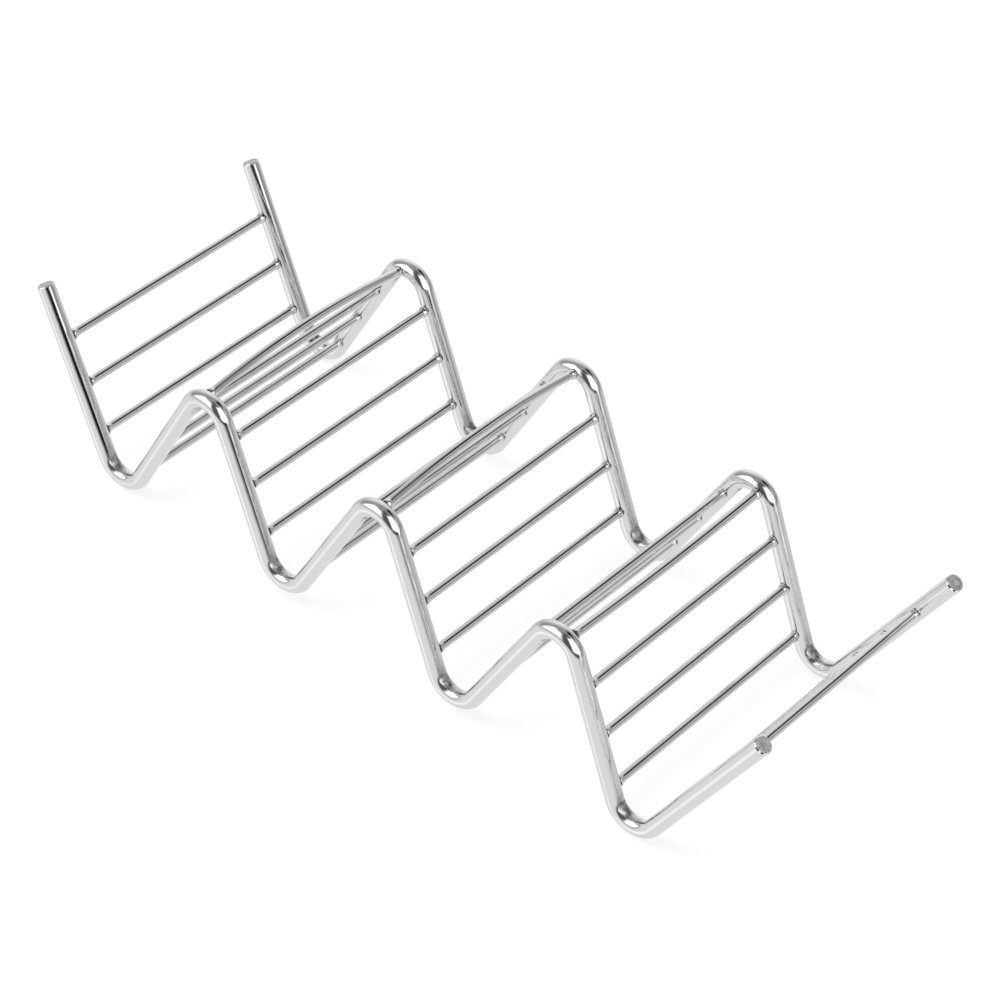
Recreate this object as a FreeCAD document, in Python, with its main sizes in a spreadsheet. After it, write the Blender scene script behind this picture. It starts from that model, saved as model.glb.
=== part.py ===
import FreeCAD, Part

# Wire rack that holds filled tacos upright, in millimetres.
# X runs along the row of slots, Y across the rack and Z up.
# The origin is under the middle of the rack, on the surface it stands on.
# Two thick side wires are bent into the same zigzag. Thin cross rods are butt welded
# between them at an even pitch along the wire, so each valley is an open slot.
# Each side wire is kept as two halves, which meet face to face on top of the middle peak.

import math
import os

import Sketcher
from FreeCAD import Placement, Rotation, Vector

SIZES = {
    "wire_dia": 6.0,         # thick side wire
    "rod_dia": 3.0,          # thin cross rod
    "spread": 96.1,          # between the centrelines of the two side wires
    "pitch": 72.6,           # from one slot to the next
    "rise": 54.2,            # centreline, bottom of a valley to the top of a peak
    "arch": 3.2,             # middle of the row above its outer feet: the row is slightly bowed
    "valley_radius": 8.6,    # centreline, bends at the bottom of the slots
    "peak_radius": 7.8,      # centreline, bends between two slots
    "end_lean": 28.0,        # degrees, free legs from the vertical
    "left_leg": 62.9,        # straight length of the free leg on the left
    "right_leg": 67.8,       # straight length of the free leg on the right
    "rod_step": 17.4,        # between neighbouring rods, measured along the side wire
    "left_shift": -2.3,      # middle rod of the left peak, off its top, along the wire
    "middle_shift": 0.0,     # the same for the middle peak
    "right_shift": 3.3,      # the same for the right peak
    "left_bow": 3.8,         # that rod's middle over its ends: the rack's welding bowed it up
    "middle_bow": 3.6,       # the same at the middle peak
    "right_bow": -1.2,       # the same at the right peak, where the rod sags
    "left_start": 8.5,       # lowest rod of the left leg, from the end of its bend
    "right_start": 12.9,     # lowest rod of the right leg
    "weld_length": 1.7,      # flared weld at each end of a rod
    "weld_growth": 0.45,     # what the weld adds to the rod's radius at the side wire
    "end_bevel": 0.35,       # broken edge of the side wires' sawn ends
}

MIDDLE = 0                   # bends are counted from the middle peak: even peaks, odd valleys
OUTERMOST = 3
RODS_PER_FLANK = 3
RODS_PER_LEG = 3
PEAK_NAMES = {-2: "left", 0: "middle", 2: "right"}
SIDES = {"left": -1, "right": 1}
HALF_SPAN = "(sizes.spread - sizes.wire_dia) / 2"     # half of a rod's clear length
QUARTER = math.pi / 2
CLOSE = 0.01


def make_sheet(doc):
    """The driving sizes, one row each, with the name as the cell's alias."""
    sheet = doc.addObject("Spreadsheet::Sheet", "sizes")
    for row, (alias, value) in enumerate(SIZES.items(), start=1):
        sheet.set(f"A{row}", alias)
        sheet.set(f"B{row}", str(value))
        sheet.setAlias(f"B{row}", alias)
    doc.recompute()
    return sheet


class Bend:
    """One bend of the side wire. Facing is 1 for a peak and -1 for a valley."""

    def __init__(self, sheet, number):
        self.number = number
        self.facing = 1 if number % 2 == 0 else -1
        self.x = number * sheet.pitch / 2
        share = 1 - (number / OUTERMOST) ** 2
        if self.facing > 0:
            self.radius = sheet.peak_radius
            self.z = sheet.wire_dia / 2 + sheet.rise - sheet.peak_radius + sheet.arch * share
        else:
            self.radius = sheet.valley_radius
            self.z = sheet.wire_dia / 2 + sheet.valley_radius + sheet.arch * share

    def point(self, heading):
        """X and Z where the wire runs at this heading, in radians above the horizontal."""
        reach = self.facing * self.radius
        return self.x - reach * math.sin(heading), self.z + reach * math.cos(heading)

    def height_rule(self):
        base = "sizes.wire_dia / 2 + sizes.valley_radius"
        if self.facing > 0:
            base = "sizes.wire_dia / 2 + sizes.rise - sizes.peak_radius"
        return f"{base} + sizes.arch * (1 - {self.number ** 2} / {OUTERMOST ** 2})"


class Zigzag:
    """Centreline of a side wire, followed from its left end to its right end."""

    def __init__(self, sheet):
        self.sheet = sheet
        self.bends = [Bend(sheet, number) for number in range(-OUTERMOST, OUTERMOST + 1)]
        leg = QUARTER - math.radians(sheet.end_lean)
        self.headings = [-leg]
        self.runs = []
        for first, second in zip(self.bends, self.bends[1:]):
            across, up = second.x - first.x, second.z - first.z
            centres = math.hypot(across, up)
            radii = first.radius + second.radius
            # the straight run is the tangent that crosses between the two bends
            cross = math.asin(radii / centres)
            self.headings.append(math.atan2(up, across) - first.facing * cross)
            self.runs.append(math.sqrt(centres ** 2 - radii ** 2))
        self.headings.append(leg)
        lengths = [sheet.left_leg] + self.runs + [sheet.right_leg]
        self.starts = []
        travelled = 0.0
        for bend, length, into, out in zip(self.bends, lengths, self.headings, self.headings[1:]):
            travelled += length
            self.starts.append(travelled)
            travelled += bend.radius * abs(out - into)
        self.length = travelled + lengths[-1]

    def crest(self, number):
        """Distance along the wire to the middle of a bend, where the wire is level."""
        index = number + OUTERMOST
        return self.starts[index] + self.bends[index].radius * abs(self.headings[index])

    def leaving(self, number):
        """Distance along the wire to the end of a bend."""
        index = number + OUTERMOST
        turn = abs(self.headings[index + 1] - self.headings[index])
        return self.starts[index] + self.bends[index].radius * turn

    def point(self, distance):
        """X and Z at a distance along the wire from its left end."""
        for index, bend in enumerate(self.bends):
            into, out = self.headings[index], self.headings[index + 1]
            before = distance - self.starts[index]
            if before < 0:
                x, z = bend.point(into)
                return x + before * math.cos(into), z + before * math.sin(into)
            beyond = distance - self.leaving(bend.number)
            if beyond < 0:
                return bend.point(into - bend.facing * before / bend.radius)
        x, z = self.bends[-1].point(out)
        return x + beyond * math.cos(out), z + beyond * math.sin(out)

    def offset(self):
        """Shift along X that puts the origin under the middle of the whole rack."""
        bevel = self.sheet.end_bevel
        left, _ = self.point(bevel)
        right, _ = self.point(self.length - bevel)
        return -(left + right) / 2


def rod_places(zigzag):
    """Name and distance along the wire of every cross rod, from left to right."""
    sheet = zigzag.sheet
    shifts = {number: getattr(sheet, f"{name}_shift") for number, name in PEAK_NAMES.items()}
    widest = max(abs(shift) for shift in shifts.values())
    flank = min(zigzag.crest(n + 1) - zigzag.crest(n) for n in range(-OUTERMOST, OUTERMOST))
    room = 2 * sheet.rod_dia
    # the rods close up where a slope is too short for their usual pitch
    step = min(sheet.rod_step, (flank - widest - room) / RODS_PER_FLANK)
    for name in SIDES:
        free = getattr(sheet, f"{name}_leg") - getattr(sheet, f"{name}_start") - room
        step = min(step, free / (RODS_PER_LEG - 1))
    places = {}
    foot = zigzag.starts[0] - sheet.left_start
    for count in range(RODS_PER_LEG):
        places[f"rod_left_leg_{count + 1}"] = foot - (RODS_PER_LEG - 1 - count) * step
    for number, name in PEAK_NAMES.items():
        middle = zigzag.crest(number) + shifts[number]
        for count in range(-RODS_PER_FLANK, RODS_PER_FLANK + 1):
            places[f"rod_{name}_peak_{count + RODS_PER_FLANK + 1}"] = middle + count * step
    foot = zigzag.leaving(OUTERMOST) + sheet.right_start
    for count in range(RODS_PER_LEG):
        places[f"rod_right_leg_{count + 1}"] = foot + count * step
    return places


def new_sketch(body, name, role):
    sketch = body.newObject("Sketcher::SketchObject", name)
    plane = next(item for item in body.Origin.OriginFeatures if item.Role == role)
    sketch.AttachmentSupport = (plane, [""])
    sketch.MapMode = "FlatFace"
    return sketch


def bind(sketch, name, constraint, expression):
    """Add a named constraint and tie its value to the sheet."""
    index = sketch.addConstraint(constraint)
    sketch.renameConstraint(index, name)
    sketch.setExpression(f"Constraints.{name}", expression)


def flat(point):
    return Vector(point[0], point[1], 0)


def draw_bend(sketch, bend, into, out):
    """Arc of one bend with its centre and radius tied to the sheet."""
    turned = QUARTER * bend.facing
    first, last = sorted((turned + into, turned + out))
    circle = Part.Circle(Vector(bend.x, bend.z, 0), Vector(0, 0, 1), bend.radius)
    item = sketch.addGeometry(Part.ArcOfCircle(circle, first, last), False)
    kind = "peak" if bend.facing > 0 else "valley"
    tag = f"{kind}_{abs(bend.number)}"
    size = Sketcher.Constraint("Radius", item, bend.radius)
    bind(sketch, f"{tag}_radius", size, f"sizes.{kind}_radius")
    level = Sketcher.Constraint("DistanceY", -1, 1, item, 3, bend.z)
    bind(sketch, f"{tag}_height", level, bend.height_rule())
    if bend.number == MIDDLE:
        sketch.addConstraint(Sketcher.Constraint("PointOnObject", item, 3, -2))
        return item
    ends = (-1, 1, item, 3) if bend.number > 0 else (item, 3, -1, 1)
    across = Sketcher.Constraint("DistanceX", *ends, abs(bend.x))
    bind(sketch, f"{tag}_place", across, f"sizes.pitch / 2 * {abs(bend.number)}")
    return item


def draw_route(body, zigzag, label):
    """Half of the zigzag, from the top of the middle peak out to one free end."""
    side = SIDES[label]
    sketch = new_sketch(body, f"{label}_route", "XZ_Plane")
    previous = None
    for number in range(MIDDLE, OUTERMOST + 1):
        index = side * number + OUTERMOST
        bend = zigzag.bends[index]
        into, out = zigzag.headings[index], zigzag.headings[index + 1]
        if number == MIDDLE:
            into, out = (0.0, out) if side > 0 else (into, 0.0)
        item = draw_bend(sketch, bend, into, out)
        # arcs run anticlockwise, so a peak starts on its right and a valley on its left
        inner, outer = (1, 2) if bend.facing * side < 0 else (2, 1)
        near, far = (into, out) if side > 0 else (out, into)
        if previous is None:
            sketch.addConstraint(Sketcher.Constraint("PointOnObject", item, inner, -2))
        else:
            start, corner = previous
            line = sketch.addGeometry(Part.LineSegment(start, flat(bend.point(near))), False)
            sketch.addConstraint(Sketcher.Constraint("Tangent", corner[0], corner[1], line, 1))
            sketch.addConstraint(Sketcher.Constraint("Tangent", item, inner, line, 2))
        previous = flat(bend.point(far)), (item, outer)
    start, corner = previous
    length = getattr(zigzag.sheet, f"{label}_leg")
    lean = math.radians(zigzag.sheet.end_lean)
    across, up = length * math.sin(lean), length * math.cos(lean)
    leg = sketch.addGeometry(Part.LineSegment(start, start + Vector(side * across, up, 0)), False)
    sketch.addConstraint(Sketcher.Constraint("Tangent", corner[0], corner[1], leg, 1))
    ends = (leg, 1, leg, 2) if side > 0 else (leg, 2, leg, 1)
    level = Sketcher.Constraint("DistanceX", *ends, across)
    bind(sketch, "leg_across", level, f"sizes.{label}_leg * sin(sizes.end_lean)")
    upright = Sketcher.Constraint("DistanceY", leg, 1, leg, 2, up)
    bind(sketch, "leg_up", upright, f"sizes.{label}_leg * cos(sizes.end_lean)")
    return sketch


def bevel_end(body):
    """Break the sharp edge round the sawn end, which lies farthest from the middle peak."""
    wire = body.Tip
    flats = [face for face in wire.Shape.Faces if isinstance(face.Surface, Part.Plane)]
    sawn = max(flats, key=lambda face: abs(face.CenterOfMass.x)).CenterOfMass
    names = []
    for number, edge in enumerate(wire.Shape.Edges, start=1):
        if edge.CenterOfMass.distanceToPoint(sawn) < CLOSE:
            names.append(f"Edge{number}")
    if len(names) != 1:
        raise RuntimeError(f"{body.Label}: found {len(names)} edges at the sawn end")
    bevel = body.newObject("PartDesign::Chamfer", "sawn_end")
    bevel.Base = (wire, names)
    bevel.setExpression("Size", "sizes.end_bevel")


def make_half_wire(doc, zigzag, label, side, place_rule):
    """Half of a thick wire: a round section at the middle peak, swept out to one end."""
    sheet = zigzag.sheet
    body = doc.addObject("PartDesign::Body", label)
    body.Label = label
    section = new_sketch(body, "section", "YZ_Plane")
    top = sheet.wire_dia / 2 + sheet.rise + sheet.arch
    circle = Part.Circle(Vector(0, top, 0), Vector(0, 0, 1), sheet.wire_dia / 2)
    item = section.addGeometry(circle, False)
    size = Sketcher.Constraint("Radius", item, sheet.wire_dia / 2)
    bind(section, "wire", size, "sizes.wire_dia / 2")
    section.addConstraint(Sketcher.Constraint("PointOnObject", item, 3, -2))
    level = Sketcher.Constraint("DistanceY", -1, 1, item, 3, top)
    bind(section, "top", level, "sizes.wire_dia / 2 + sizes.rise + sizes.arch")
    route = draw_route(body, zigzag, side)
    doc.recompute()
    pipe = body.newObject("PartDesign::AdditivePipe", "swept_wire")
    pipe.Profile = section
    pipe.Spine = (route, [])
    doc.recompute()
    bevel_end(body)
    body.Placement = Placement(Vector(zigzag.offset(), 0, 0), Rotation())
    body.setExpression("Placement.Base.y", place_rule)
    return body


def make_blank(doc, sheet):
    """A straight cross rod before it is fitted: flared at both ends by its welds, and long
    enough to reach the centrelines of the side wires."""
    body = doc.addObject("PartDesign::Body", "rod_blank")
    profile = new_sketch(body, "half_section", "YZ_Plane")
    thin = sheet.rod_dia / 2
    foot = thin + sheet.weld_growth
    end = sheet.spread / 2
    face = end - sheet.wire_dia / 2
    flare = face - sheet.weld_length
    half = [(end, 0), (end, foot), (face, foot), (flare, thin)]
    corners = [(-y, z) for y, z in half] + half[::-1]
    count = len(corners)
    for number, corner in enumerate(corners):
        following = corners[(number + 1) % count]
        profile.addGeometry(Part.LineSegment(flat(corner), flat(following)), False)
    for number in range(count):
        join = Sketcher.Constraint("Coincident", number, 2, (number + 1) % count, 1)
        profile.addConstraint(join)
    profile.addConstraint(Sketcher.Constraint("PointOnObject", 0, 1, -1))
    profile.addConstraint(Sketcher.Constraint("Vertical", 0))
    profile.addConstraint(Sketcher.Constraint("Horizontal", 1))
    for number in range(len(half)):
        twins = Sketcher.Constraint("Symmetric", number, 1, count - 1 - number, 1, -2)
        profile.addConstraint(twins)
    reach = Sketcher.Constraint("DistanceX", -1, 1, 6, 1, end)
    bind(profile, "reach", reach, "sizes.spread / 2")
    bite = Sketcher.Constraint("DistanceX", 5, 1, 6, 1, end - face)
    bind(profile, "bite", bite, "sizes.wire_dia / 2")
    weld = Sketcher.Constraint("DistanceX", 4, 1, 5, 1, face - flare)
    bind(profile, "weld", weld, "sizes.weld_length")
    radius = Sketcher.Constraint("DistanceY", -1, 1, 4, 1, thin)
    bind(profile, "radius", radius, "sizes.rod_dia / 2")
    growth = Sketcher.Constraint("DistanceY", 4, 1, 5, 1, foot - thin)
    bind(profile, "growth", growth, "sizes.weld_growth")
    turned = body.newObject("PartDesign::Revolution", "turned")
    turned.Profile = profile
    turned.ReferenceAxis = (profile, ["H_Axis"])
    turned.Angle = 360
    return body


def draw_span(body, sheet, alias):
    """Section of a bowed rod at mid span, and the axis of the ring that it is a slice of."""
    bow = abs(getattr(sheet, alias))
    thin = sheet.rod_dia / 2
    face = (sheet.spread - sheet.wire_dia) / 2
    radius = (face ** 2 + bow ** 2) / (2 * bow)
    section = new_sketch(body, "section", "XZ_Plane")
    circle = section.addGeometry(Part.Circle(Vector(0, bow, 0), Vector(0, 0, 1), thin), False)
    size = Sketcher.Constraint("Radius", circle, thin)
    bind(section, "rod", size, "sizes.rod_dia / 2")
    section.addConstraint(Sketcher.Constraint("PointOnObject", circle, 3, -2))
    level = Sketcher.Constraint("DistanceY", -1, 1, circle, 3, bow)
    bind(section, "bow", level, f"abs(sizes.{alias})")
    centre = Vector(0, bow - radius, 0)
    stub = Vector(thin, 0, 0)
    axis = section.addGeometry(Part.LineSegment(centre - stub, centre + stub), True)
    section.addConstraint(Sketcher.Constraint("Symmetric", axis, 1, axis, 2, -2))
    length = Sketcher.Constraint("DistanceX", axis, 1, axis, 2, 2 * thin)
    bind(section, "axis_length", length, "sizes.rod_dia")
    ring = f"({HALF_SPAN} * {HALF_SPAN} + sizes.{alias} * sizes.{alias}) / (2 * abs(sizes.{alias}))"
    drop = Sketcher.Constraint("DistanceY", axis, 1, circle, 3, radius)
    bind(section, "ring_radius", drop, ring)
    return section, f"2 * asin({HALF_SPAN} / ({ring}))"


def draw_foot(sketch, sheet, side):
    """Half section of the welded foot at one end of a bowed rod."""
    thin = sheet.rod_dia / 2
    foot = thin + sheet.weld_growth
    end = sheet.spread / 2
    face = end - sheet.wire_dia / 2
    toe = face - sheet.weld_length
    corners = [(toe, 0), (toe, thin), (face, foot), (end, foot), (end, 0)]
    corners = [flat((SIDES[side] * y, z)) for y, z in corners]
    first = len(sketch.Geometry)
    rise, _, top, outer, base = lines = range(first, first + len(corners))
    for number, corner in enumerate(corners):
        following = corners[(number + 1) % len(corners)]
        sketch.addGeometry(Part.LineSegment(corner, following), False)
    for line in lines:
        following = first if line == base else line + 1
        sketch.addConstraint(Sketcher.Constraint("Coincident", line, 2, following, 1))
    sketch.addConstraint(Sketcher.Constraint("PointOnObject", rise, 1, -1))
    for line in (rise, outer):
        sketch.addConstraint(Sketcher.Constraint("Vertical", line))
    for line in (top, base):
        sketch.addConstraint(Sketcher.Constraint("Horizontal", line))
    distances = {
        "end": (outer, end, "sizes.spread / 2"),
        "face": (top, face, HALF_SPAN),
        "toe": (rise, toe, f"{HALF_SPAN} - sizes.weld_length"),
    }
    for name, (line, distance, rule) in distances.items():
        ends = (-1, 1, line, 1) if SIDES[side] > 0 else (line, 1, -1, 1)
        across = Sketcher.Constraint("DistanceX", *ends, distance)
        bind(sketch, f"{side}_{name}", across, rule)
    low = Sketcher.Constraint("DistanceY", -1, 1, rise, 2, thin)
    bind(sketch, f"{side}_rod", low, "sizes.rod_dia / 2")
    high = Sketcher.Constraint("DistanceY", -1, 1, outer, 1, foot)
    bind(sketch, f"{side}_foot", high, "sizes.rod_dia / 2 + sizes.weld_growth")


def make_bowed_blank(doc, sheet, alias):
    """The same rod with its span bowed up: a slice of a ring, with a welded foot at each end."""
    body = doc.addObject("PartDesign::Body", f"{alias}_blank")
    section, angle = draw_span(body, sheet, alias)
    span = body.newObject("PartDesign::Revolution", "bowed_span")
    span.Profile = section
    span.ReferenceAxis = (section, ["Axis0"])
    span.Midplane = True
    span.setExpression("Angle", angle)
    doc.recompute()
    feet = new_sketch(body, "feet", "YZ_Plane")
    for side in SIDES:
        draw_foot(feet, sheet, side)
    welded = body.newObject("PartDesign::Revolution", "welded_feet")
    welded.Profile = feet
    welded.ReferenceAxis = (feet, ["H_Axis"])
    welded.Angle = 360
    return body


def make_rod(doc, blank, side_wires, label, x, z, upright):
    """A blank at its place on the zigzag, coped to the side wires that it is welded to."""
    placed = doc.addObject("App::Link", f"{label}_blank")
    placed.LinkedObject = blank
    turned = Rotation() if upright else Rotation(Vector(0, 1, 0), 180)
    placed.Placement = Placement(Vector(x, 0, z), turned)
    rod = doc.addObject("Part::Cut", label)
    rod.Label = label
    rod.Base = placed
    rod.Tool = side_wires
    return rod


def check(doc, parts):
    """Every object computes, and every piece is one sound solid."""
    for item in doc.Objects:
        if "Invalid" in item.State or "Error" in item.State:
            raise RuntimeError(f"{item.Label} did not compute: {item.State}")
    for part in parts:
        shape = part.Shape
        if shape.isNull() or not shape.isValid() or len(shape.Solids) != 1:
            raise RuntimeError(f"{part.Label} is not one sound solid")


def main():
    doc = FreeCAD.newDocument("rack")
    sheet = make_sheet(doc)
    zigzag = Zigzag(sheet)
    parts = []
    for name, place_rule in (("near", "-sizes.spread / 2"), ("far", "sizes.spread / 2")):
        for side in SIDES:
            label = f"{name}_side_wire_{side}"
            parts.append(make_half_wire(doc, zigzag, label, side, place_rule))
    side_wires = doc.addObject("Part::Compound", "side_wires")
    side_wires.Links = list(parts)
    straight = make_blank(doc, sheet)
    bowed = {}
    for name in PEAK_NAMES.values():
        alias = f"{name}_bow"
        label = f"rod_{name}_peak_{RODS_PER_FLANK + 1}"
        bowed[label] = make_bowed_blank(doc, sheet, alias), getattr(sheet, alias) > 0
    doc.recompute()
    for label, distance in rod_places(zigzag).items():
        x, z = zigzag.point(distance)
        blank, upright = bowed.get(label, (straight, True))
        rod = make_rod(doc, blank, side_wires, label, x + zigzag.offset(), z, upright)
        parts.append(rod)
    doc.recompute()
    check(doc, parts)
    os.makedirs("parts", exist_ok=True)
    for part in parts:
        part.Shape.exportStep(f"parts/{part.Label}.step")
    return doc, zigzag, parts


main()
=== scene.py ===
import math

import bpy
from mathutils import Matrix, Vector


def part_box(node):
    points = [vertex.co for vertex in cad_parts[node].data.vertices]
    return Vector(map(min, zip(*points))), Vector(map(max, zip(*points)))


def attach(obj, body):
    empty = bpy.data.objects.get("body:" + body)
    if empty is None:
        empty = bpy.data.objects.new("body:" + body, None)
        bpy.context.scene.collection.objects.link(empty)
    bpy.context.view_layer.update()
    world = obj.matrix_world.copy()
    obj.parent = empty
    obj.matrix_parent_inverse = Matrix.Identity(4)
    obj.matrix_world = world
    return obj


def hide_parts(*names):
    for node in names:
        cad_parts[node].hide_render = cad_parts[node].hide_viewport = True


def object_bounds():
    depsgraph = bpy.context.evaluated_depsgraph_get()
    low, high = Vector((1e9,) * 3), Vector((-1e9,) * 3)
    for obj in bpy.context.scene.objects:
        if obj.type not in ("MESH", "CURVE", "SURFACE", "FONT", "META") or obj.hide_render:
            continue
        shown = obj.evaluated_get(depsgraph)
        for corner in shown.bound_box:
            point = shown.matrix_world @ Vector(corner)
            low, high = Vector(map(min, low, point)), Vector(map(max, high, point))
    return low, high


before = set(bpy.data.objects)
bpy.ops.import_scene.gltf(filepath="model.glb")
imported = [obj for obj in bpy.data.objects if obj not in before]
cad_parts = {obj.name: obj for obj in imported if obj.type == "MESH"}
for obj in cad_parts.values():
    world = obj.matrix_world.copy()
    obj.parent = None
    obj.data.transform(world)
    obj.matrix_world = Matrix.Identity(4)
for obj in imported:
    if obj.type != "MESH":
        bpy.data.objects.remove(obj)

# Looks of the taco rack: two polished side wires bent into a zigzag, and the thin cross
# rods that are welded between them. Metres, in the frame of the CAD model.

MM = 0.001
CAD_BOX = [list(corner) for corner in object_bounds()]

# Sizes of the rack, the same as in the CAD model
WIRE_RADIUS = 3.0 * MM
ROD_RADIUS = 1.5 * MM
SPREAD = 96.1 * MM            # between the centrelines of the side wires
PITCH = 72.6 * MM             # from one peak to the next
RISE = 54.2 * MM              # of the centreline, from a valley to a peak
ARCH = 3.2 * MM               # of the whole row, over its outermost valleys
VALLEY_RADIUS = 8.6 * MM
PEAK_RADIUS = 7.8 * MM
OUTERMOST = 3                 # bends each side of the middle peak: even peaks, odd valleys
END_LEAN = math.radians(28.0)
LEFT_LEG = 62.9 * MM
RIGHT_LEG = 67.8 * MM
END_BEVEL = 0.35 * MM
WELD_GROWTH = 0.45 * MM       # of a rod's welded foot over the rod
BOWS = {                      # middle of a rod over its ends
    "rod_left_peak_4": 3.8 * MM,
    "rod_middle_peak_4": 3.6 * MM,
    "rod_right_peak_4": -1.2 * MM,
}

# Weld beads as they are drawn here, with the lumps that the CAD model leaves out
BEAD_LENGTH = 2.1 * MM
BEAD_GROWTH = 0.22 * MM
BEAD_CREST = 0.55             # where a bead is thickest, as a share of its length
BEAD_SINK = 0.3 * MM          # of a bead into the side wire
ROD_SINK = 1.2 * MM           # of a rod into the side wire
LUMP_HEIGHT = 1.9 * MM        # for a full step of the noise
LUMP_SCALE = 700.0            # cells in a metre
LUMP_LEVEL = 0.42             # noise that leaves the bead as it is
LUMP_SEED = 7.0

# How finely the wires are drawn
BEND_STEP = math.radians(2.5)
RUN_STEP = 1.5 * MM
WIRE_FACES = 56
ROD_FACES = 28
ROD_RINGS = 81
RING_CROWDING = 2.2           # above 1, rings crowd towards the welds
BEND_BLUR = 6                 # steps over which a bend's marks fade into its runs
SHARP_ANGLE = math.radians(40)


# The zigzag of the side wires

class Bend:
    """One bend of the side wire: its centre, radius, and 1 for a peak or -1 for a valley."""

    def __init__(self, number):
        self.facing = 1 if number % 2 == 0 else -1
        self.x = number * PITCH / 2
        self.radius = PEAK_RADIUS if self.facing > 0 else VALLEY_RADIUS
        foot = RISE - PEAK_RADIUS if self.facing > 0 else VALLEY_RADIUS
        self.z = WIRE_RADIUS + foot + ARCH * (1 - (number / OUTERMOST) ** 2)

    def point(self, heading):
        """X and Z of the centreline where it has this heading."""
        reach = self.facing * self.radius
        return self.x - reach * math.sin(heading), self.z + reach * math.cos(heading)


def run_headings(bends):
    """Heading of each straight run, from the left leg to the right one."""
    lean = math.pi / 2 - END_LEAN
    headings = [-lean]
    for first, second in zip(bends, bends[1:]):
        across, up = second.x - first.x, second.z - first.z
        cross = math.asin((first.radius + second.radius) / math.hypot(across, up))
        headings.append(math.atan2(up, across) - first.facing * cross)
    return headings + [lean]


def between(start, end):
    """Points on the straight run between two points, without the two."""
    (x0, z0, _), (x1, z1, _) = start, end
    count = max(2, round(math.dist((x0, z0), (x1, z1)) / RUN_STEP))
    shares = [step / count for step in range(1, count)]
    return [(x0 + (x1 - x0) * share, z0 + (z1 - z0) * share, 0.0) for share in shares]


def zigzag():
    """Points of the centreline from the left end to the right end, as X, Z and a number that
    is 1 in a valley, -1 in a peak and 0 between them."""
    bends = [Bend(number) for number in range(-OUTERMOST, OUTERMOST + 1)]
    headings = run_headings(bends)
    corners = []
    for bend, into, out in zip(bends, headings, headings[1:]):
        count = max(2, round(abs(out - into) / BEND_STEP))
        turn = (out - into) / count
        mark = float(-bend.facing)
        corners.append([(*bend.point(into + turn * step), mark) for step in range(count + 1)])
    lean = headings[-1]
    first, last = corners[0][0], corners[-1][-1]
    start = first[0] - LEFT_LEG * math.cos(lean), first[1] + LEFT_LEG * math.sin(lean), 0.0
    end = last[0] + RIGHT_LEG * math.cos(lean), last[1] + RIGHT_LEG * math.sin(lean), 0.0
    line = [start]
    for corner in corners + [[end]]:
        line += between(line[-1], corner[0]) + corner
    return line


def centring(line):
    """Shift along X that puts the middle of the row where the CAD model has it."""
    places = [x for x, _, _ in line]
    return (CAD_BOX[0][0] + CAD_BOX[1][0]) / 2 - (min(places) + max(places)) / 2


# Shader maths

class Sock:
    """A shader socket that takes part in Python expressions."""

    def __init__(self, shade, socket):
        self.shade, self.socket = shade, socket

    def _math(self, operation, *values):
        return self.shade.node("ShaderNodeMath", {"operation": operation}, *values)

    def __add__(self, other):
        return self._math("ADD", self, other)

    def __radd__(self, other):
        return self._math("ADD", other, self)

    def __sub__(self, other):
        return self._math("SUBTRACT", self, other)

    def __rsub__(self, other):
        return self._math("SUBTRACT", other, self)

    def __mul__(self, other):
        return self._math("MULTIPLY", self, other)

    def __rmul__(self, other):
        return self._math("MULTIPLY", other, self)

    def __abs__(self):
        return self._math("ABSOLUTE", self)


class Shade:
    """A node tree of a material or the world, built one node at a time."""

    def __init__(self, owner):
        owner.use_nodes = True
        self.tree = owner.node_tree
        self.tree.nodes.clear()

    def node(self, kind, settings=None, *values, out=0, **named):
        """Add a node: its settings first, then its sockets by order or by name."""
        made = self.tree.nodes.new(kind)
        for key, value in (settings or {}).items():
            setattr(made, key, value)
        live = [socket for socket in made.inputs if socket.enabled]
        pairs = list(zip(live, values))
        pairs += [(made.inputs[key.replace("_", " ")], value) for key, value in named.items()]
        for socket, value in pairs:
            if isinstance(value, Sock):
                self.tree.links.new(value.socket, socket)
            elif value is not None:
                socket.default_value = value
        return Sock(self, made.outputs[out]) if made.outputs else None

    def attribute(self, name):
        """A number that the mesh stores under this name."""
        return self.node("ShaderNodeAttribute", {"attribute_name": name}, out="Fac")

    def mix(self, mask, low, high, blend="MIX"):
        """Blend two colours by a mask."""
        settings = {"data_type": "RGBA", "blend_type": blend}
        made = self.node("ShaderNodeMix", settings, mask, low, high)
        return Sock(self, next(s for s in made.socket.node.outputs if s.enabled))

    def step(self, value, low, high, to_low=0.0, to_high=1.0):
        """Smooth step of a value between two limits."""
        settings = {"interpolation_type": "SMOOTHSTEP"}
        return self.node("ShaderNodeMapRange", settings, value, low, high, to_low, to_high)

    def noise(self, vector, scale, detail, roughness):
        """Cloudy noise from 0 to 1."""
        return self.node("ShaderNodeTexNoise", None, Vector=vector, Scale=scale,
                         Detail=detail, Roughness=roughness)


def grey(level):
    return (level, level, level, 1.0)


# Materials

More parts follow.
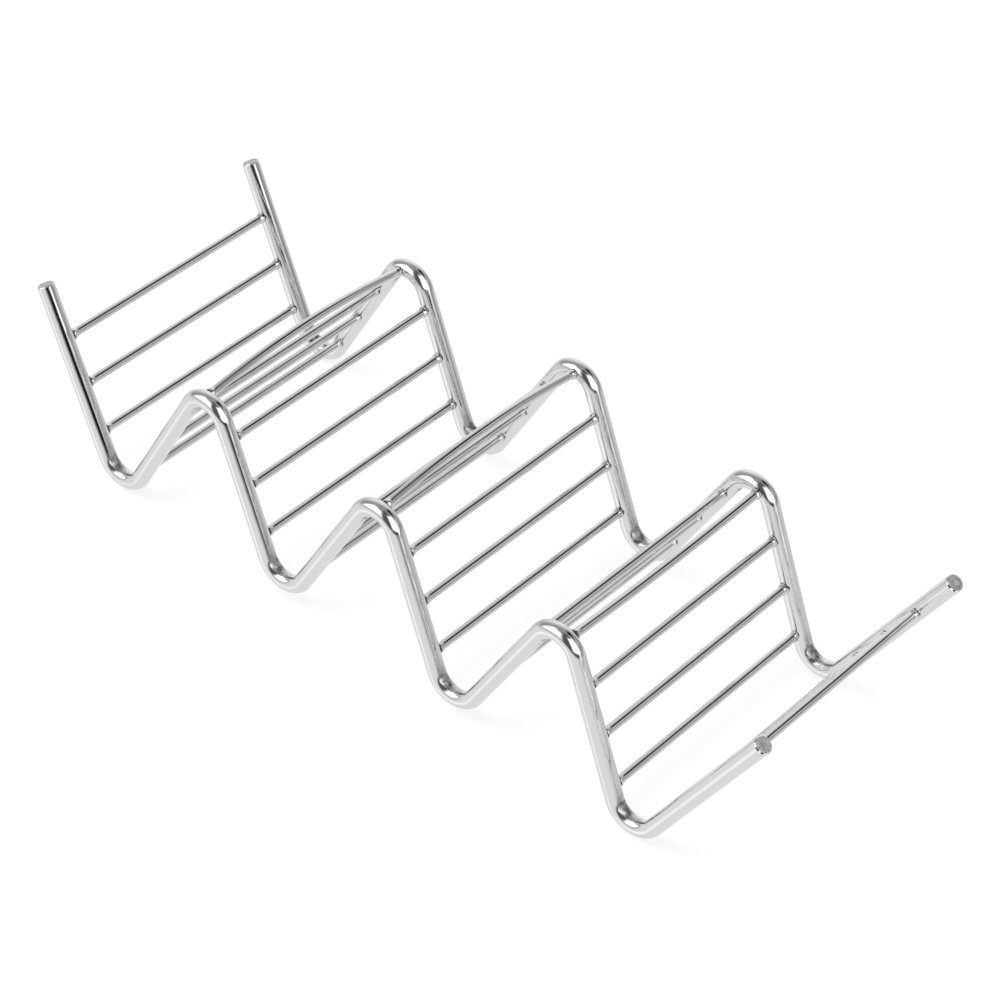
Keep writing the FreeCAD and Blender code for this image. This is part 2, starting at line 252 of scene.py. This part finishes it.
def polished_steel(name, colour, rough, wave, drawn):
    """Electropolished stainless steel: faint drawing lines along the wire and a soft unevenness
    that makes the reflections waver, with rough pressed marks inside the valley bends that are
    darkened there as painted dark reflection, and painted shade darkening the creases where weld
    beads meet the side wires."""
    material = bpy.data.materials.new(name)
    shade = Shade(material)
    place = shade.node("ShaderNodeTexCoord", out="Object")
    along, around = shade.attribute("along"), shade.attribute("around")
    weld, bend, inner = shade.attribute("weld"), shade.attribute("bend"), shade.attribute("inner")
    # the finish of the drawn wire: long lines, broad waves, fine pores and a coarser peel
    grain = shade.node("ShaderNodeCombineXYZ", None, along * 60.0, around * 40.0, 0.0)
    lines = shade.noise(grain, 1.0, 3.0, 0.6)
    cloud = shade.noise(place, 90.0, 2.0, 0.5)
    pores = shade.step(shade.noise(place, 1400.0, 3.0, 0.65), 0.62, 0.74)
    peel = shade.noise(place, 600.0, 2.0, 0.5)
    # rough pressed marks inside the valleys, darkened as painted dark reflection, the lumps of the
    # weld beads, and painted shade in the creases where the beads meet the side wires
    # mask of the rough pressed marks, which also carries the painted dark reflection in the valleys
    pressed_and_dark_reflection = inner * shade.step(peel, 0.35, 0.62, 1.0, 0.45)
    bead = shade.step(weld, 0.10, 0.6)
    # mask of the painted shade in the crease next to the side wire
    crease_shade = shade.step(weld, 0.72, 0.86)
    lumps = shade.noise(place, 800.0, 1.0, 0.5)
    tone = shade.mix(cloud * 0.5 + lines * 0.5, grey(0.93), grey(1.0))
    base = shade.mix(1.0, (*colour, 1.0), tone, "MULTIPLY")
    # painted shade: the crease where a bead meets the side wire is darkened nearly to black
    base = shade.mix(crease_shade * 0.9, base, (0.06, 0.06, 0.065, 1.0))
    # painted dark reflection: the right side of a valley's inside is darkened over its rough
    # pressed marks
    base = shade.mix(pressed_and_dark_reflection * 0.85, base, (0.13, 0.13, 0.135, 1.0))
    roughness = rough + lines * 0.03 + cloud * 0.03 + pores * 0.05 + bend * 0.05 + pressed_and_dark_reflection * 0.33
    height = cloud * wave + lines * drawn + peel * bend * 0.12 + lumps * bead * 0.9
    bump = shade.node("ShaderNodeBump", None, Strength=0.35, Distance=0.4 * MM, Height=height)
    shader = shade.node("ShaderNodeBsdfPrincipled", None, Base_Color=base, Metallic=1.0,
                        Roughness=roughness, Normal=bump)
    shade.node("ShaderNodeOutputMaterial", None, shader)
    return material


def sawn_steel():
    """The cut end of a side wire: matt grey, mottled, with faint saw marks."""
    material = bpy.data.materials.new("sawn steel")
    shade = Shade(material)
    place = shade.node("ShaderNodeTexCoord", out="Object")
    stretched = shade.node("ShaderNodeMapping", None, place, Scale=(1.0, 9.0, 1.0))
    marks = shade.noise(stretched, 700.0, 3.0, 0.6)
    mottle = shade.noise(place, 900.0, 3.0, 0.7)
    spots = shade.step(mottle * 0.65 + marks * 0.35, 0.38, 0.62)
    base = shade.mix(spots, (0.36, 0.36, 0.37, 1.0), (0.72, 0.72, 0.73, 1.0))
    roughness = 0.42 + mottle * 0.2
    height = mottle * 0.6 + marks * 0.4
    bump = shade.node("ShaderNodeBump", None, Strength=0.5, Distance=0.3 * MM, Height=height)
    shader = shade.node("ShaderNodeBsdfPrincipled", None, Base_Color=base, Metallic=0.85,
                        Roughness=roughness, Normal=bump)
    shade.node("ShaderNodeOutputMaterial", None, shader)
    return material


# Geometry nodes

class Build:
    """A geometry node tree with named inputs."""

    def __init__(self, name):
        self.tree = bpy.data.node_groups.new(name, "GeometryNodeTree")
        self.face = self.tree.interface
        self.face.new_socket("Geometry", in_out="INPUT", socket_type="NodeSocketGeometry")
        self.face.new_socket("Geometry", in_out="OUTPUT", socket_type="NodeSocketGeometry")
        self.inputs = {}
        self.entry = self.tree.nodes.new("NodeGroupInput")

    def given(self, name, kind="NodeSocketFloat"):
        """A named input of the tree, as the socket that carries it."""
        item = self.face.new_socket(name, in_out="INPUT", socket_type=kind)
        self.inputs[name] = item.identifier
        return self.entry.outputs[name]

    @property
    def geometry(self):
        return self.entry.outputs["Geometry"]

    def node(self, kind, settings=None, out=0, **named):
        """Add a node, with its settings first. The result is one of its live outputs."""
        made = self.tree.nodes.new(kind)
        for key, value in (settings or {}).items():
            setattr(made, key, value)
        for key, value in named.items():
            label = key.replace("_", " ")
            socket = next(s for s in made.inputs if s.enabled and s.name == label)
            if isinstance(value, bpy.types.NodeSocket):
                self.tree.links.new(value, socket)
            else:
                socket.default_value = value
        live = [s for s in made.outputs if s.enabled]
        return live[out] if isinstance(out, int) else next(s for s in live if s.name == out)

    def maths(self, operation, *values):
        made = self.tree.nodes.new("ShaderNodeMath")
        made.operation = operation
        for socket, value in zip(made.inputs, values):
            if isinstance(value, bpy.types.NodeSocket):
                self.tree.links.new(value, socket)
            else:
                socket.default_value = value
        return made.outputs[0]

    def times(self, first, *others):
        """Product of all the values."""
        for other in others:
            first = self.maths("MULTIPLY", first, other)
        return first

    def ramp(self, value, low, high):
        """0 below the low limit, 1 above the high one, straight between them."""
        share = self.maths("DIVIDE", self.maths("SUBTRACT", value, low), high - low)
        return self.clamp(share)

    def clamp(self, value):
        return self.maths("MINIMUM", self.maths("MAXIMUM", value, 0.0), 1.0)

    def place(self, axis):
        """X, Y or Z of each point."""
        here = self.node("GeometryNodeInputPosition")
        return self.node("ShaderNodeSeparateXYZ", Vector=here, out=axis)

    def store(self, geometry, name, value):
        """Store a number for each point under a name."""
        settings = {"data_type": "FLOAT", "domain": "POINT"}
        return self.node("GeometryNodeStoreNamedAttribute", settings,
                         Geometry=geometry, Name=name, Value=value)

    def read(self, name):
        return self.node("GeometryNodeInputNamedAttribute", {"data_type": "FLOAT"}, Name=name)

    def tube(self, line, girth, radius, faces):
        """A closed round tube along a line, whose points know how far around it they are."""
        ring = self.node("GeometryNodeCurvePrimitiveCircle", Resolution=faces, Radius=radius)
        turn = self.node("GeometryNodeSplineParameter", out="Factor")
        ring = self.store(ring, "around", turn)
        return self.node("GeometryNodeCurveToMesh", Curve=line, Profile_Curve=ring,
                         Scale=girth, Fill_Caps=True)

    def finish(self, geometry, material):
        """Shade smooth, make instances real, paint, and end the tree."""
        smooth = self.node("GeometryNodeSetShadeSmooth", Geometry=geometry, Shade_Smooth=True)
        real = self.node("GeometryNodeRealizeInstances", Geometry=smooth)
        painted = self.node("GeometryNodeSetMaterial", Geometry=real, Material=material)
        leave = self.tree.nodes.new("NodeGroupOutput")
        self.tree.links.new(painted, leave.inputs[0])
        return self.tree


def swept_wire():
    """A round wire swept along a chain of edges, whose points give its girth."""
    build = Build("swept wire")
    radius = build.given("Wire Radius")
    faces = build.given("Section Faces", "NodeSocketInt")
    steel = build.given("Steel", "NodeSocketMaterial")
    route = build.node("GeometryNodeMeshToCurve", Mesh=build.geometry)
    travelled = build.node("GeometryNodeSplineParameter", out="Length")
    route = build.store(route, "along", travelled)
    soft = build.node("GeometryNodeBlurAttribute", {"data_type": "FLOAT"},
                      Value=build.read("bent"), Iterations=BEND_BLUR)
    route = build.store(route, "bent", soft)
    tube = build.tube(route, build.read("girth"), radius, faces)
    tube = build.store(tube, "weld", 0.0)
    tube = build.store(tube, "bend", build.maths("ABSOLUTE", build.read("bent")))
    # mask of the pressed marks and of the painted dark reflection in the valleys
    tube = build.store(tube, "inner", pressed_marks_and_dark_reflection(build))
    return build, build.finish(tube, steel)


def pressed_marks_and_dark_reflection(build):
    """How far a point is in the marks that the bending tool left, which are also darkened as a
    painted dark reflection: along the middle of the inside of a valley, on the side that faces
    right."""
    outward = build.node("GeometryNodeInputNormal")
    x, y, z = (build.node("ShaderNodeSeparateXYZ", Vector=outward, out=axis) for axis in "XYZ")
    flat = build.maths("SQRT", build.maths("SUBTRACT", 1.0, build.times(y, y)))
    middle = build.ramp(flat, 0.72, 0.88)
    inside = build.ramp(build.times(z, build.read("bent")), 0.0, 0.35)
    rightward = build.ramp(x, 0.05, 0.4)
    return build.times(middle, inside, rightward)


def rod_ladder():
    """One cross rod with a weld bead at both ends, set at each point it is given."""
    build = Build("rod ladder")
    radius = build.given("Rod Radius")
    half = build.given("Half Length")
    face = build.given("Weld Face")
    length = build.given("Weld Length")
    growth = build.given("Weld Growth")
    faces = build.given("Section Faces", "NodeSocketInt")
    lumps = build.given("Weld Lumps")
    seed = build.given("Seed")
    steel = build.given("Steel", "NodeSocketMaterial")
    count = build.given("Rings", "NodeSocketInt")
    line = crowded_line(build, half, count)
    # distance into the weld, from 0 at its outer edge to 1 at the side wire
    y = build.place("Y")
    toe = build.maths("SUBTRACT", face, length)
    into = build.maths("SUBTRACT", build.maths("ABSOLUTE", y), toe)
    into = build.clamp(build.maths("DIVIDE", into, length))
    line = build.store(line, "weld", into)
    line = build.store(line, "along", y)
    # a bead swells from the rod and pinches in again at the side wire
    aside = build.maths("SUBTRACT", build.times(into, 2.0), 2.0 * BEAD_CREST)
    swell = build.maths("SUBTRACT", 1.0, build.times(aside, aside))
    flare = build.times(build.maths("MAXIMUM", swell, 0.0), growth)
    girth = build.maths("DIVIDE", build.maths("ADD", radius, flare), radius)
    rod = build.tube(line, girth, radius, faces)
    ladder = build.node("GeometryNodeInstanceOnPoints", Points=build.geometry, Instance=rod)
    ladder = build.node("GeometryNodeRealizeInstances", Geometry=ladder)
    ladder = lumpy_beads(build, ladder, lumps, seed)
    ladder = bowed(build, ladder, face)
    return build, build.finish(ladder, steel)


def crowded_line(build, half, count):
    """A line along Y whose points crowd towards its ends, where the welds are."""
    start = build.node("ShaderNodeCombineXYZ", Y=build.times(half, -1.0))
    end = build.node("ShaderNodeCombineXYZ", Y=half)
    line = build.node("GeometryNodeCurvePrimitiveLine", Start=start, End=end)
    line = build.node("GeometryNodeResampleCurve", Curve=line, Count=count)
    share = build.maths("DIVIDE", build.place("Y"), half)
    left = build.maths("SUBTRACT", 1.0, build.maths("ABSOLUTE", share))
    crowded = build.maths("SUBTRACT", 1.0, build.maths("POWER", left, RING_CROWDING))
    y = build.times(crowded, build.maths("SIGN", share), half)
    moved = build.node("ShaderNodeCombineXYZ", Y=y)
    return build.node("GeometryNodeSetPosition", Geometry=line, Position=moved)


def lumpy_beads(build, ladder, lumps, seed):
    """Raise and sink the skin of the beads a little, each bead in its own way."""
    here = build.node("GeometryNodeInputPosition")
    cells = build.node("ShaderNodeTexNoise", {"noise_dimensions": "4D"}, Vector=here,
                       W=seed, Scale=LUMP_SCALE, Detail=2.0)
    rise = build.times(build.maths("SUBTRACT", cells, LUMP_LEVEL), build.read("weld"), lumps)
    outward = build.node("GeometryNodeInputNormal")
    shift = build.node("ShaderNodeVectorMath", {"operation": "SCALE"}, Vector=outward, Scale=rise)
    return build.node("GeometryNodeSetPosition", Geometry=ladder, Offset=shift)


def bowed(build, ladder, face):
    """Bow each rod between its welds, by the bow of the point it stands on."""
    aside = build.maths("ABSOLUTE", build.maths("DIVIDE", build.place("Y"), face))
    share = build.maths("MINIMUM", aside, 1.0)
    arc = build.maths("SUBTRACT", 1.0, build.maths("POWER", share, 2.0))
    lift = build.node("ShaderNodeCombineXYZ", Z=build.times(arc, build.read("bow")))
    return build.node("GeometryNodeSetPosition", Geometry=ladder, Offset=lift)


def grow(name, source, build, tree, values):
    """Run a geometry node tree on an object and keep the result as a plain mesh."""
    modifier = source.modifiers.new(name, "NODES")
    modifier.node_group = tree
    for key, value in values.items():
        modifier[build.inputs[key]] = value
    bpy.context.view_layer.update()
    evaluated = source.evaluated_get(bpy.context.evaluated_depsgraph_get())
    mesh = bpy.data.meshes.new_from_object(evaluated)
    mesh.name = name
    source.modifiers.remove(modifier)
    bpy.data.objects.remove(source)
    piece = bpy.data.objects.new(name, mesh)
    bpy.context.scene.collection.objects.link(piece)
    return piece


# Pieces

def chain(name, points, edges=(), **values):
    """A mesh of points, and of the edges between them, with one number per point and name."""
    mesh = bpy.data.meshes.new(name)
    mesh.from_pydata(points, edges, [])
    for key, numbers in values.items():
        mesh.attributes.new(key, "FLOAT", "POINT").data.foreach_set("value", numbers)
    piece = bpy.data.objects.new(name, mesh)
    bpy.context.scene.collection.objects.link(piece)
    return piece


def bevelled(line):
    """The centreline with a point at each end where the bevel starts, and the girth there."""
    def inward(tip, following):
        share = END_BEVEL / math.dist(tip[:2], following[:2])
        return tuple(a + (b - a) * share for a, b in zip(tip, following))

    left, right = inward(line[0], line[1]), inward(line[-1], line[-2])
    points = [line[0], left, *line[1:-1], right, line[-1]]
    thin = (WIRE_RADIUS - END_BEVEL) / WIRE_RADIUS
    return points, [thin] + [1.0] * (len(points) - 2) + [thin]


def side_wire(name, nodes, line, shift, steel, sawn, sweep):
    """One whole side wire, which the CAD model keeps as two half wires."""
    low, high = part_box(nodes[0])
    y = (low.y + high.y) / 2
    points, girth = bevelled(line)
    edges = [(number, number + 1) for number in range(len(points) - 1)]
    route = chain(name + "_line", [(x + shift, y, z) for x, z, _ in points], edges,
                  girth=girth, bent=[mark for _, _, mark in points])
    build, tree = sweep
    values = {"Wire Radius": WIRE_RADIUS, "Section Faces": WIRE_FACES, "Steel": steel}
    piece = grow(name + "_polished", route, build, tree, values)
    mesh = piece.data
    mesh.materials.append(sawn)
    # the cut ends are the only faces with more than four corners
    for polygon in mesh.polygons:
        if len(polygon.vertices) > 4:
            polygon.material_index = 1
    mesh.set_sharp_from_angle(angle=SHARP_ANGLE)
    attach(piece, "root")
    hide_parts(*nodes)
    return piece


def cross_rods(steel):
    """All cross rods, each on the axis of its CAD node."""
    nodes = sorted(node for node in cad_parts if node.startswith("rod_"))
    foot = ROD_RADIUS + WELD_GROWTH
    axes, bows = [], []
    for node in nodes:
        low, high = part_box(node)
        middle = (low + high) / 2
        bow = BOWS.get(node, 0.0)
        # a bow reaches past the welded feet on one side only
        if bow > 0:
            middle.z = low.z + foot
        elif bow < 0:
            middle.z = high.z - foot
        axes.append(middle)
        bows.append(bow)
    places = chain("rod places", axes, bow=bows)
    build, tree = rod_ladder()
    face = SPREAD / 2 - WIRE_RADIUS
    values = {
        "Rod Radius": ROD_RADIUS,
        "Half Length": face + ROD_SINK,
        "Weld Face": face + BEAD_SINK,
        "Weld Length": BEAD_LENGTH,
        "Weld Growth": BEAD_GROWTH,
        "Section Faces": ROD_FACES,
        "Weld Lumps": LUMP_HEIGHT,
        "Seed": LUMP_SEED,
        "Steel": steel,
        "Rings": ROD_RINGS,
    }
    piece = grow("cross_rods_polished", places, build, tree, values)
    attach(piece, "root")
    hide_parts(*nodes)
    return piece


# Studio

def studio_world():
    """White to the eye. What the steel mirrors is a softbox on either side of the camera, a
    dark gap between and above them, grey walls behind, and the pale table below."""
    world = bpy.data.worlds.new("studio")
    bpy.context.scene.world = world
    shade = Shade(world)
    rays = shade.node("ShaderNodeLightPath")
    camera = Sock(shade, rays.socket.node.outputs["Is Camera Ray"])
    glossy = Sock(shade, rays.socket.node.outputs["Is Glossy Ray"])
    look = shade.node("ShaderNodeTexCoord", out="Generated")
    split = shade.node("ShaderNodeSeparateXYZ", None, look).socket.node
    x, y, z = (Sock(shade, split.outputs[k]) for k in range(3))
    bearing = shade.node("ShaderNodeMath", {"operation": "ARCTAN2"}, y, x) * math.degrees(1)
    height = shade.node("ShaderNodeMath", {"operation": "ARCSINE"}, z) * math.degrees(1)

    def panel(middle, half, soft, level, half_level, soft_level):
        """Mask of a soft-edged panel, in degrees: the bearing of its middle, half its width
        and its soft edge, then the same for its height."""
        aside = shade.node("ShaderNodeMath", {"operation": "WRAP"}, bearing - middle, 180.0, -180.0)
        wide = shade.step(abs(aside), half + soft, half - soft)
        tall = shade.step(abs(height - level), half_level + soft_level, half_level - soft_level)
        return wide * tall

    def lay(under, *panels):
        """Lay panels over a light, each with its brightness first."""
        for brightness, *place in panels:
            under = shade.mix(panel(*place), under, grey(brightness))
        return under

    room = lay(
        grey(0.34),                            # walls
        (1.00, 125, 31, 29, 8, 38, 25),        # light wall behind at the left
        (0.60, -165, 25, 15, -4, 6, 8),        # far edge of the table, in front
        (0.10, -50, 48, 9, 41, 47, 8),         # dark gap over the camera
        (0.68, 44, 10, 7, 31, 8, 6),           # grey card behind
        (0.00, 69, 21, 8, 58, 15, 4),          # dark gap overhead, behind
        (0.00, -27, 15, 7, 6, 8, 3),           # black card at the right
    )
    table = lay(grey(0.88), (0.70, 50, 30, 20, -10, 30, 10))
    below = shade.step(height, 4.5, -10.0)
    room = shade.mix(below, room, table)
    room = lay(
        room,
        (1.30, -121, 13, 12, -38, 8, 10),      # left softbox in the glossy table
        (1.40, -128, 31, 6, 32, 25, 6),        # left softbox
        (1.60, 2, 8, 5, 6, 13, 4),             # foot of the right softbox
        (1.60, -17, 37, 7, 38, 26, 3),         # right softbox
    )
    plain = shade.mix(glossy, grey(1.0), room)
    seen = shade.mix(camera, plain, grey(1.0))
    shader = shade.node("ShaderNodeBackground", None, seen, 1.0)
    shade.node("ShaderNodeOutputWorld", None, shader)


def studio_floor():
    """White floor that keeps a faint shadow of the rack. The steel mirrors the world's table
    in its place, so the floor doesn't show in reflections."""
    half = 3.0
    drop = 0.2 * MM               # keeps the floor clear of the wires that stand on it
    whitening = 0.8               # the shadow is fainter by this share
    mesh = bpy.data.meshes.new("floor")
    mesh.from_pydata([(-half, -half, 0), (half, -half, 0), (half, half, 0), (-half, half, 0)],
                     [], [(0, 1, 2, 3)])
    floor = bpy.data.objects.new("floor", mesh)
    bpy.context.scene.collection.objects.link(floor)
    floor.location.z = -drop
    floor.visible_glossy = False
    material = bpy.data.materials.new("white floor")
    shade = Shade(material)
    rays = shade.node("ShaderNodeLightPath")
    camera = Sock(shade, rays.socket.node.outputs["Is Camera Ray"])
    paper = shade.node("ShaderNodeBsdfDiffuse", None, grey(0.85))
    white = shade.node("ShaderNodeEmission", None, grey(1.0), 1.0)
    seen = shade.node("ShaderNodeMixShader", None, whitening, paper, white)
    both = shade.node("ShaderNodeMixShader", None, camera, paper, seen)
    shade.node("ShaderNodeOutputMaterial", None, both)
    mesh.materials.append(material)


def studio_lamp():
    """A round softbox overhead, for the floor and its shadow. The steel doesn't mirror it."""
    data = bpy.data.lights.new("softbox", "AREA")
    data.shape = "DISK"
    data.size = 1.2
    data.energy = 20.0
    lamp = bpy.data.objects.new("softbox", data)
    bpy.context.scene.collection.objects.link(lamp)
    lamp.location = (-0.5, -0.6, 1.4)
    lamp.rotation_euler = (-lamp.location).to_track_quat("-Z", "Y").to_euler()
    lamp.visible_glossy = False


def photo_camera(shift):
    """The photograph's viewpoint, as it was fitted to the outlines of the wires."""
    photo_width = 1001            # pixels
    focal_length = 3570.46        # pixels
    bearing, height, roll = math.radians(36.14), math.radians(42.20), math.radians(6.65)
    distance = 1.15569
    aim = Vector((0.00007 + shift, 0.01389, 0.025))
    back = Vector((math.sin(bearing) * math.cos(height),
                   -math.cos(bearing) * math.cos(height), math.sin(height)))
    level = Vector((math.cos(bearing), math.sin(bearing), 0.0))
    rise = back.cross(level)
    right = level * math.cos(roll) + rise * math.sin(roll)
    up = rise * math.cos(roll) - level * math.sin(roll)
    data = bpy.data.cameras.new("camera")
    data.sensor_width = 36.0
    data.lens = focal_length / photo_width * data.sensor_width
    data.clip_start, data.clip_end = 0.05, 20.0
    camera = bpy.data.objects.new("camera", data)
    bpy.context.scene.collection.objects.link(camera)
    turned = Matrix((right, up, back)).transposed().to_4x4()
    camera.matrix_world = Matrix.Translation(aim + back * distance) @ turned
    bpy.context.scene.camera = camera


def main():
    bpy.context.scene.view_settings.view_transform = "Standard"
    line = zigzag()
    shift = centring(line)
    wire_steel = polished_steel("polished side wire", (0.80, 0.80, 0.805),
                                rough=0.05, wave=0.35, drawn=0.05)
    rod_steel = polished_steel("polished cross rod", (0.78, 0.78, 0.785),
                               rough=0.06, wave=0.25, drawn=0.06)
    sawn = sawn_steel()
    sweep = swept_wire()
    for name in ("near_side_wire", "far_side_wire"):
        halves = [f"{name}_left", f"{name}_right"]
        side_wire(name, halves, line, shift, wire_steel, sawn, sweep)
    cross_rods(rod_steel)
    studio_world()
    studio_floor()
    studio_lamp()
    photo_camera(shift)


main()
